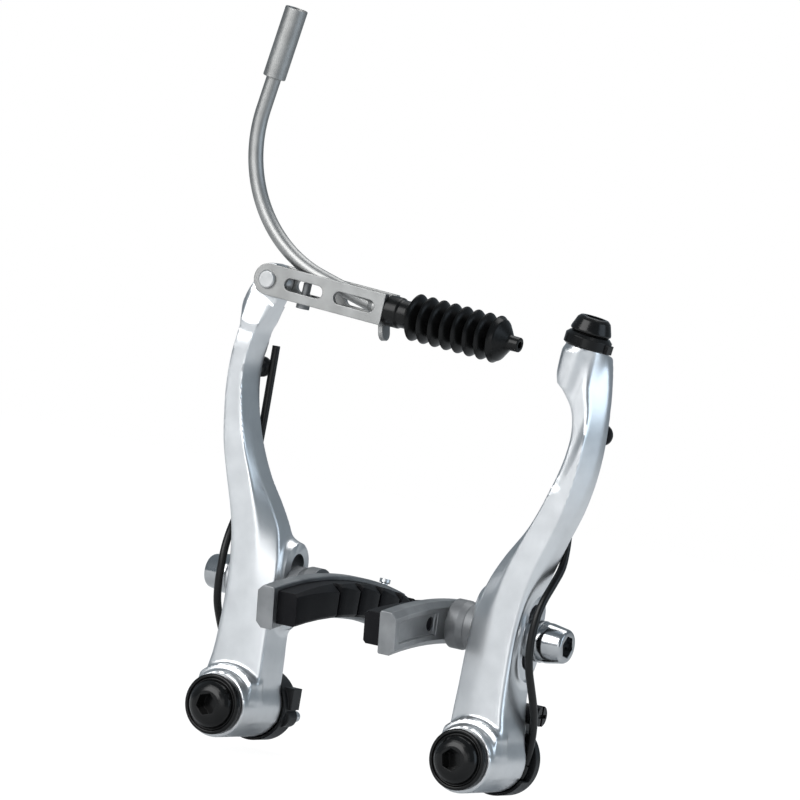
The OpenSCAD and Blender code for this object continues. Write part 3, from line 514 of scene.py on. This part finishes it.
def arm_distance(table, x, y, z):
    d = blend_low(blend_low(body(table, x, y, z), boss(x, y, z), 2.5), lip(x, y, z), 0.9)
    d = blend_low(d, barrel(x, y, z), 1.4)
    if table is LEFT:
        return blend_low(d, tang(x, y, z), 4.0)
    d = blend_low(d, clamp_head(x, y, z), 2.0)
    d = carve(d, x, y, z, (13.8, 101.5), (8.8, 79.5), 3.4, 1.15)
    return carve(d, x, y, z, (15.0, 92.5), (9.6, 71.0), 2.8, 0.95)


def zero_surface(f, low, high, step):
    """Closed mesh where f is zero. A grid cell that f crosses gets a point at the mean of its edges'
    crossings, and a crossed grid edge a quad; the points then move by -f g / |g|^2, g the gradient of f."""
    axes = [np.arange(low[k], high[k] + step, step) for k in range(3)]
    size = [len(a) for a in axes]
    grid = np.stack(np.meshgrid(*axes, indexing="ij"), -1)
    v = f(grid[..., 0], grid[..., 1], grid[..., 2])
    cells = [s - 1 for s in size]
    total, count = np.zeros((*cells, 3)), np.zeros(cells)
    crossings = []
    for k in range(3):
        a, b = np.take(v, range(size[k] - 1), k), np.take(v, range(1, size[k]), k)
        hit = (a < 0) != (b < 0)
        crossings.append((hit, a < 0))
        point = np.take(grid, range(size[k] - 1), k).copy()
        point[..., k] += np.where(hit, a / np.where(a == b, 1, a - b), 0) * step
        point *= hit[..., None]
        u, w = [j for j in range(3) if j != k]
        for du, dw in ((0, 0), (0, 1), (1, 0), (1, 1)):
            part = [slice(None)] * 3
            part[u] = slice(du, size[u] - 1 + du)
            part[w] = slice(dw, size[w] - 1 + dw)
            total += point[tuple(part)]
            count += hit[tuple(part)]
    used = count > 0
    index = np.full(cells, -1)
    index[used] = np.arange(used.sum())
    p = total[used] / count[used][:, None]
    quads = []
    for k, (hit, starts_inside) in enumerate(crossings):
        u, w = (k + 1) % 3, (k + 2) % 3
        corners = []
        for du, dw in ((-1, -1), (0, -1), (0, 0), (-1, 0)):
            cell = np.argwhere(hit)
            cell[:, u] += du
            cell[:, w] += dw
            corners.append(index[tuple(cell.T)])
        q = np.stack(corners, 1)
        quads.append(np.where(starts_inside[hit][:, None], q, q[:, ::-1]))
    e = 0.01
    for _ in range(4):
        g = np.stack([(f(*(p + o).T) - f(*(p - o).T)) / (2 * e) for o in np.eye(3) * e], 1)
        move = f(*p.T)[:, None] * g / np.maximum((g * g).sum(1), 0.05)[:, None]
        p -= np.clip(move, -step / 2, step / 2)
    return p, np.vstack(quads).tolist()


def slot_bar(side, x0, x1, r):
    """Cutter along x with round ends of radius r, over the slot's height."""
    w = np.linspace(0, np.pi, 25)
    y = STUD_Y + np.concatenate([r * np.cos(w), -r * np.cos(w)])
    z = SLOT_Z + np.concatenate([SLOT_HALF + r * np.sin(w), -SLOT_HALF - r * np.sin(w)])
    ends = [np.stack([np.full(len(y), x), y, z], 1) for x in (x0, x1)]
    return make("cutter", *rings(np.array(ends)), side)


def link_room(y0, y1):
    """Cutter for a link plate's way: all above the line of its lower edge when the link is turned down."""
    a = rad(LINK_DOWN + LINK_SWING)
    x, z = RIVET_X + LINK_ROOM * np.sin(a), RIVET_Z - LINK_ROOM * np.cos(a)
    end_x, end_z = x - 20 * np.cos(a), z - 20 * np.sin(a)
    top = RIVET_Z + 8
    outline = [(x, z), (end_x, end_z), (end_x, top), (RIVET_X, top), (RIVET_X, RIVET_Z)]
    ends = [[(x, y, z) for x, z in outline] for y in (y0, y1)]
    return make("cutter", *rings(np.array(ends)), -1)


def arm(side):
    front, back = MID_Y - TANG_HALF, MID_Y + TANG_HALF
    table = LEFT if side < 0 else RIGHT
    step = 0.42
    low, high = (-9.6, -12.6, -9.8), (18.6, 11.8, 112.2)
    mesh = zero_surface(lambda x, y, z: arm_distance(table, x, y, z), low, high, step)
    o = make(SIDES[side] + "_arm_skin", *mesh, side)
    cutters = [
        rod(side, [0, -14, 0], [0, 12, 0], SLEEVE_R, 96),
        slot_bar(side, -12, 12, SLOT_R),
        slot_bar(side, WASHER_OUT, 18, WASHER_ROOM),
        slot_bar(side, -20, WASHER_IN, WASHER_ROOM),
        rod(side, [KNOB_X, 0, KNOB_Z], [KNOB_X, 12, KNOB_Z], KNOB_R, 32),
    ]
    if side < 0:
        cutters += [
            rod(side, [RIVET_X, -12, RIVET_Z], [RIVET_X, 12, RIVET_Z], RIVET_R, 48),
            rod(side, [RIVET_X, back, RIVET_Z], [RIVET_X, 12, RIVET_Z], LINK_ROOM),
            rod(side, [RIVET_X, -12, RIVET_Z], [RIVET_X, front, RIVET_Z], LINK_ROOM),
            link_room(back, 12),
            link_room(-12, front),
        ]
    else:
        cutters += [
            rod(side, SEAT, SEAT + 14 * LEAN, 14),
            rod(side, SEAT - 6.2 * LEAN, SEAT + LEAN, BORE_R),
        ]
    cut(o, *cutters)
    show(o, "polished_arm", SIDES[side] + "_arm")


for side in SIDES:
    arm(side)


# Springs: the leg as one smooth bent wire, and its coil

WIRE_R, COIL_R, COIL_Y = 1.0, 7.1, 10.25
ROUTE = [
    [7.1, 10.3, 0], [7.6, 10.1, 3], [8.2, 9.3, 6.5], [8.9, 7.4, 10.5], [9.4, 4.6, 15], [9.6, 1.4, 19.5],
    [9.6, -1.4, 24], [9.5, -2.7, 28.5], [9.5, -2.8, 33], [9.7, -2.2, 37.5], [10.0, -0.6, 41.5],
    [10.4, 2.1, 45.5], [10.5, 5.0, 49.5], [10.3, 6.1, 54], [9.9, 6.4, 60], [9.6, 6.4, 70],
    [9.5, 6.3, 80], [9.5, 6.3, 89.4],
]  # fmt: skip


def spring(side):
    """Wire along the route, and a circle about the pivot for the coil."""
    w = 2 * np.pi * np.arange(96) / 96
    coil = np.stack([COIL_R * np.cos(w), np.full(96, COIL_Y), COIL_R * np.sin(w)], 1)
    wire = merge(tube(smooth_path(ROUTE), WIRE_R, 28), tube(coil, WIRE_R, 24))
    show(make(SIDES[side] + "_spring_wire", *wire, side), "black_spring", SIDES[side] + "_spring")


for side in SIDES:
    spring(side)


# Pivot bolts and pad nuts, turned from (radius, distance) profiles

BOLT_Y = -13.3  # front of the bolt's flange
BOLT = [
    (0.01, 2.4), (3.3, 2.38), (4.2, 2.1), (5.0, 1.62), (5.7, 0.9), (6.02, 0.15), (6.1, -0.5), (6.5, -0.5),
    (6.7, 0.0), (7.25, 0.0), (7.6, -0.35), (7.6, -2.0), (3.0, -2.0), (3.0, -19.2), (2.2, -20.0),
    (0.01, -20.0),
]  # fmt: skip
NUT_X, NUT_L = 9.2, 6.8
NUT = [(0.01, 0), (4.9, 0), (5.0, 0.15), (5.0, 1.9), (4.25, 6.2), (3.85, NUT_L), (0.01, NUT_L)]


def pivot_bolt(side):
    mesh = revolve(rounded(BOLT, 0.22), [0, BOLT_Y, 0], [0, -1, 0], 96)
    o = make(SIDES[side] + "_bolt_turned", *mesh, side)
    cut(o, hexagon(side, [0, BOLT_Y - 2.4, 0], [0, 1, 0], 3.6))
    show(o, "black_bolt", SIDES[side] + "_pivot_bolt")


def pad_nut(side):
    mesh = revolve(rounded(NUT, 0.25), [NUT_X, STUD_Y, STUD_Z], [1, 0, 0], 96)
    o = make(SIDES[side] + "_nut_turned", *mesh, side)
    bore = rod(side, [NUT_X - 1.2, STUD_Y, STUD_Z], [NUT_X + 2.3, STUD_Y, STUD_Z], BORE_R, 64)
    cut(o, bore, hexagon(side, [NUT_X + NUT_L, STUD_Y, STUD_Z], [-1, 0, 0], 4.5))
    show(o, "chrome_nut", SIDES[side] + "_pad_nut")


for side in SIDES:
    pivot_bolt(side)
    pad_nut(side)


# Cable bolt on the right arm's head

CABLE_BOLT = [
    (0.01, 7.6), (3.5, 7.6), (4.2, 6.9), (5.1, 4.35), (5.1, 3.85), (4.6, 3.55), (4.6, 3.3), (3.0, 3.3),
    (3.0, -5.4), (2.4, -6), (0.01, -6),
]  # fmt: skip
o = make("cable_bolt_turned", *revolve(rounded(CABLE_BOLT, 0.25), SEAT, LEAN, 96), 1)
cut(o, make("cutter", *revolve([(HEX_R, 4.3), (HEX_R, 9)], SEAT, LEAN, 6), 1))
show(o, "black_bolt", "cable_bolt")


# Guide tube and boot, drawn in the link's frame: origin at its rivet, x along it


def turned(points, degrees):
    """Points turned about y, so that +x goes down."""
    c, s = np.cos(rad(degrees)), np.sin(rad(degrees))
    p = np.atleast_2d(np.array(points, float))
    return np.stack([p[:, 0] * c + p[:, 2] * s, p[:, 1], p[:, 2] * c - p[:, 0] * s], 1)


def from_link(points):
    return turned(points, LINK_DOWN) + [-PIVOT_OUT - RIVET_X, MID_Y, RIVET_Z]


ALONG = turned([1, 0, 0], LINK_DOWN)[0]
CONE_X, CONE_TILT = 29.6, 12.2  # where the tube's near end starts, and its tilt in degrees
NEAR_L, BEND_R, BEND, FAR_L, TUBE_R = 17.3, 34.0, rad(84.3), 10.2, 1.9
NOZZLE = [
    (0.01, -4.0), (2.0, -4.0), (2.4, -2.6), (2.1, 0), (1.6, 0), (1.6, 3.9), (1.1, 3.9), (1.1, -2),
    (0.01, -2),
]  # fmt: skip


def tube_line():
    """Middle line: straight for NEAR_L, an arc of radius BEND_R through BEND, and straight for FAR_L."""
    a = np.linspace(0, BEND, 60)
    near = np.linspace(0, -17, 20)[:, None] * [1, 0, 0]
    arc = np.stack([-NEAR_L - BEND_R * np.sin(a), 0 * a, BEND_R * (1 - np.cos(a))], 1)
    far = arc[-1] + np.linspace(0.6, FAR_L, 12)[:, None] * [-np.cos(BEND), 0, np.sin(BEND)]
    return from_link(turned(np.vstack([near, arc, far]), CONE_TILT) + [CONE_X, 0, 0])


nozzle = revolve(rounded(NOZZLE, 0.15), from_link([CONE_X + 2.6, 0, 0])[0], ALONG, 48)
show(make("noodle_tube_bent", *merge(tube(tube_line(), TUBE_R, 40), nozzle)), "matte_steel", "noodle_tube")

BOOT_X = 33.55
COLLAR = [(1.65, 0), (3.9, 0), (3.9, 3.3), (3.5, 3.8), (3.5, 5.9), (3.3, 6.3)]
NIPPLE = [(5.6, 31.3), (5.2, 32.2), (2.2, 34.6), (1.9, 35.0), (1.85, 37.4), (0.9, 37.4), (0.9, 34.4)]
INSIDE = [(2.2, 32.2), (2.2, 3), (1.65, 3), (1.65, 0)]


def bellows():
    """Eight rings 3.3 apart; each swells by 2.65 (1 - |s|^1.35), s from -1 to 0 at its crest and on to 1."""
    t = np.linspace(0, 1, 13)[:-1]
    crest = 0.42
    s = np.where(t < crest, (t - crest) / crest, (t - crest) / (1 - crest))
    along = 6.4 + 3.3 * (np.arange(8)[:, None] + t)
    radius = 3.3 + 2.65 * np.broadcast_to(1 - np.abs(s) ** 1.35, along.shape)
    return np.stack([radius.ravel(), along.ravel()], 1)[1:-6]


profile = np.vstack([rounded(COLLAR, 0.25), bellows(), rounded(NIPPLE, 0.25), INSIDE])
o = make("boot_turned", *revolve_loop(profile, from_link([BOOT_X, 0, 0])[0], ALONG, 72))
show(o, "boot_rubber", "boot")


# Pad rubber: blocks between grooves, each with its bevel growing along it

PAD_NEAR, PAD_FAR, PAD_RADIUS = -28.95, 36.8, 150.0  # ends along the pad's arc, and the arc's radius
GROOVES = PAD_NEAR + np.array([21.5, 32.0, 42.5, 53.0, 60.5])
GROOVE_HALF = 0.4
PAD_BACK, PAD_FACE, GROOVE_FACE = 17.05, 25.6, 23.9  # inwards from the pivot
PAD_HALF = 4.15  # half its height


def pad_rubber(side):
    """Ring k is the section at at[k] along the arc; the upper bevel grows as 0.8 + 1.4 t along a block."""
    inner = np.sort(np.concatenate([GROOVES - GROOVE_HALF, GROOVES + GROOVE_HALF]))
    edges = np.array([PAD_NEAR, *inner, PAD_FAR])
    at, bevel, face = [], [], []
    for k, (a, b) in enumerate(zip(edges, edges[1:])):
        block = k % 2 == 0
        t = np.array([0.001, 0.05, 0.3, 0.6, 0.95, 0.999]) if block else np.array([0.0, 0.5, 1.0])
        lift = np.array([0.25, 0, 0, 0, 0, 0.25]) if block else np.zeros(3)
        at.append(a + (b - a) * t)
        bevel.append(0.8 + 1.4 * t + lift if block else np.full(3, 0.8))
        face.append(PAD_FACE - lift if block else np.full(3, GROOVE_FACE))
    at, bevel, face = map(np.concatenate, (at, bevel, face))
    h, back, one = PAD_HALF, PAD_BACK, np.ones(len(at))
    z = np.stack([-h * one, h * one, h * one, h - bevel * 0.8, (0.7 - h) * one, -h * one], 1)
    x = np.stack([back * one, back * one, face - bevel, face, face, face - 0.7], 1)
    angle = at[:, None] / PAD_RADIUS
    r = PAD_RADIUS + z
    y = STUD_Y + r * np.sin(angle)
    points = np.stack([-x, y, STUD_Z - PAD_RADIUS + r * np.cos(angle)], -1)
    o = make(SIDES[side] + "_rubber_blocks", *rings(points), side)
    show(o, "pad_rubber", SIDES[side] + "_pad_rubber")


for side in SIDES:
    pad_rubber(side)


# Floor and backdrop, white to the camera, and the studio lights

world = bpy.data.worlds.new("studio")
bpy.context.scene.world = world
g = Graph(world)
lit = g.node("ShaderNodeBackground", {}, {"Color": (0.60, 0.70, 0.78), "Strength": 0.38})
seen = g.node("ShaderNodeBackground", {}, {"Color": (1.0, 1.0, 1.0)})
camera_ray = g.node("ShaderNodeLightPath", output="Is Camera Ray")
either = g.node("ShaderNodeMixShader", {}, {0: camera_ray, 1: lit, 2: seen})
g.node("ShaderNodeOutputWorld", {}, {"Surface": either})

FLOOR_Z, FLOOR_HALF = -11.5, 900
corners = [[x * FLOOR_HALF, y * FLOOR_HALF, FLOOR_Z] for x, y in ((-1, -1), (1, -1), (1, 1), (-1, 1))]
floor = make("floor", corners, [[0, 1, 2, 3]])
floor.data.materials.append(bpy.data.materials.new("floor"))
g = Graph(floor.data.materials[0])
tone = g.mix(g.noise(0.05, 2.0), (0.78, 0.78, 0.78), (0.80, 0.80, 0.80))
plain = g.node("ShaderNodeBsdfDiffuse", {}, {"Color": tone})
white = g.node("ShaderNodeEmission", {}, {"Color": (1.0, 1.0, 1.0), "Strength": 1.08})
mostly = Value(g, g.node("ShaderNodeLightPath", output="Is Camera Ray")) * 0.9
mixed = g.node("ShaderNodeMixShader", {}, {0: mostly, 1: plain, 2: white})
g.node("ShaderNodeOutputMaterial", {}, {"Surface": mixed})


def softbox(name, where, size, power, colour=(1, 1, 1)):
    """Rectangular light that faces the middle of the lower arms."""
    light = bpy.data.lights.new(name, "AREA")
    light.shape = "RECTANGLE"
    light.size, light.size_y = size
    light.energy = power
    light.color = colour
    o = bpy.data.objects.new(name, light)
    bpy.context.scene.collection.objects.link(o)
    o.location = where
    o.rotation_mode = "QUATERNION"
    o.rotation_quaternion = (Vector((0, 0, 0.05)) - Vector(where)).to_track_quat("-Z", "Y")


softbox("key", (-0.35, -0.95, 0.60), (0.90, 0.80), 12.0)
softbox("front", (0.35, -1.10, 0.05), (0.60, 0.80), 2.4)
softbox("side", (0.90, 0.10, 0.25), (0.60, 0.80), 3.0, (0.74, 0.87, 1.0))
softbox("top", (0.0, 0.25, 0.80), (0.60, 0.50), 3.0)
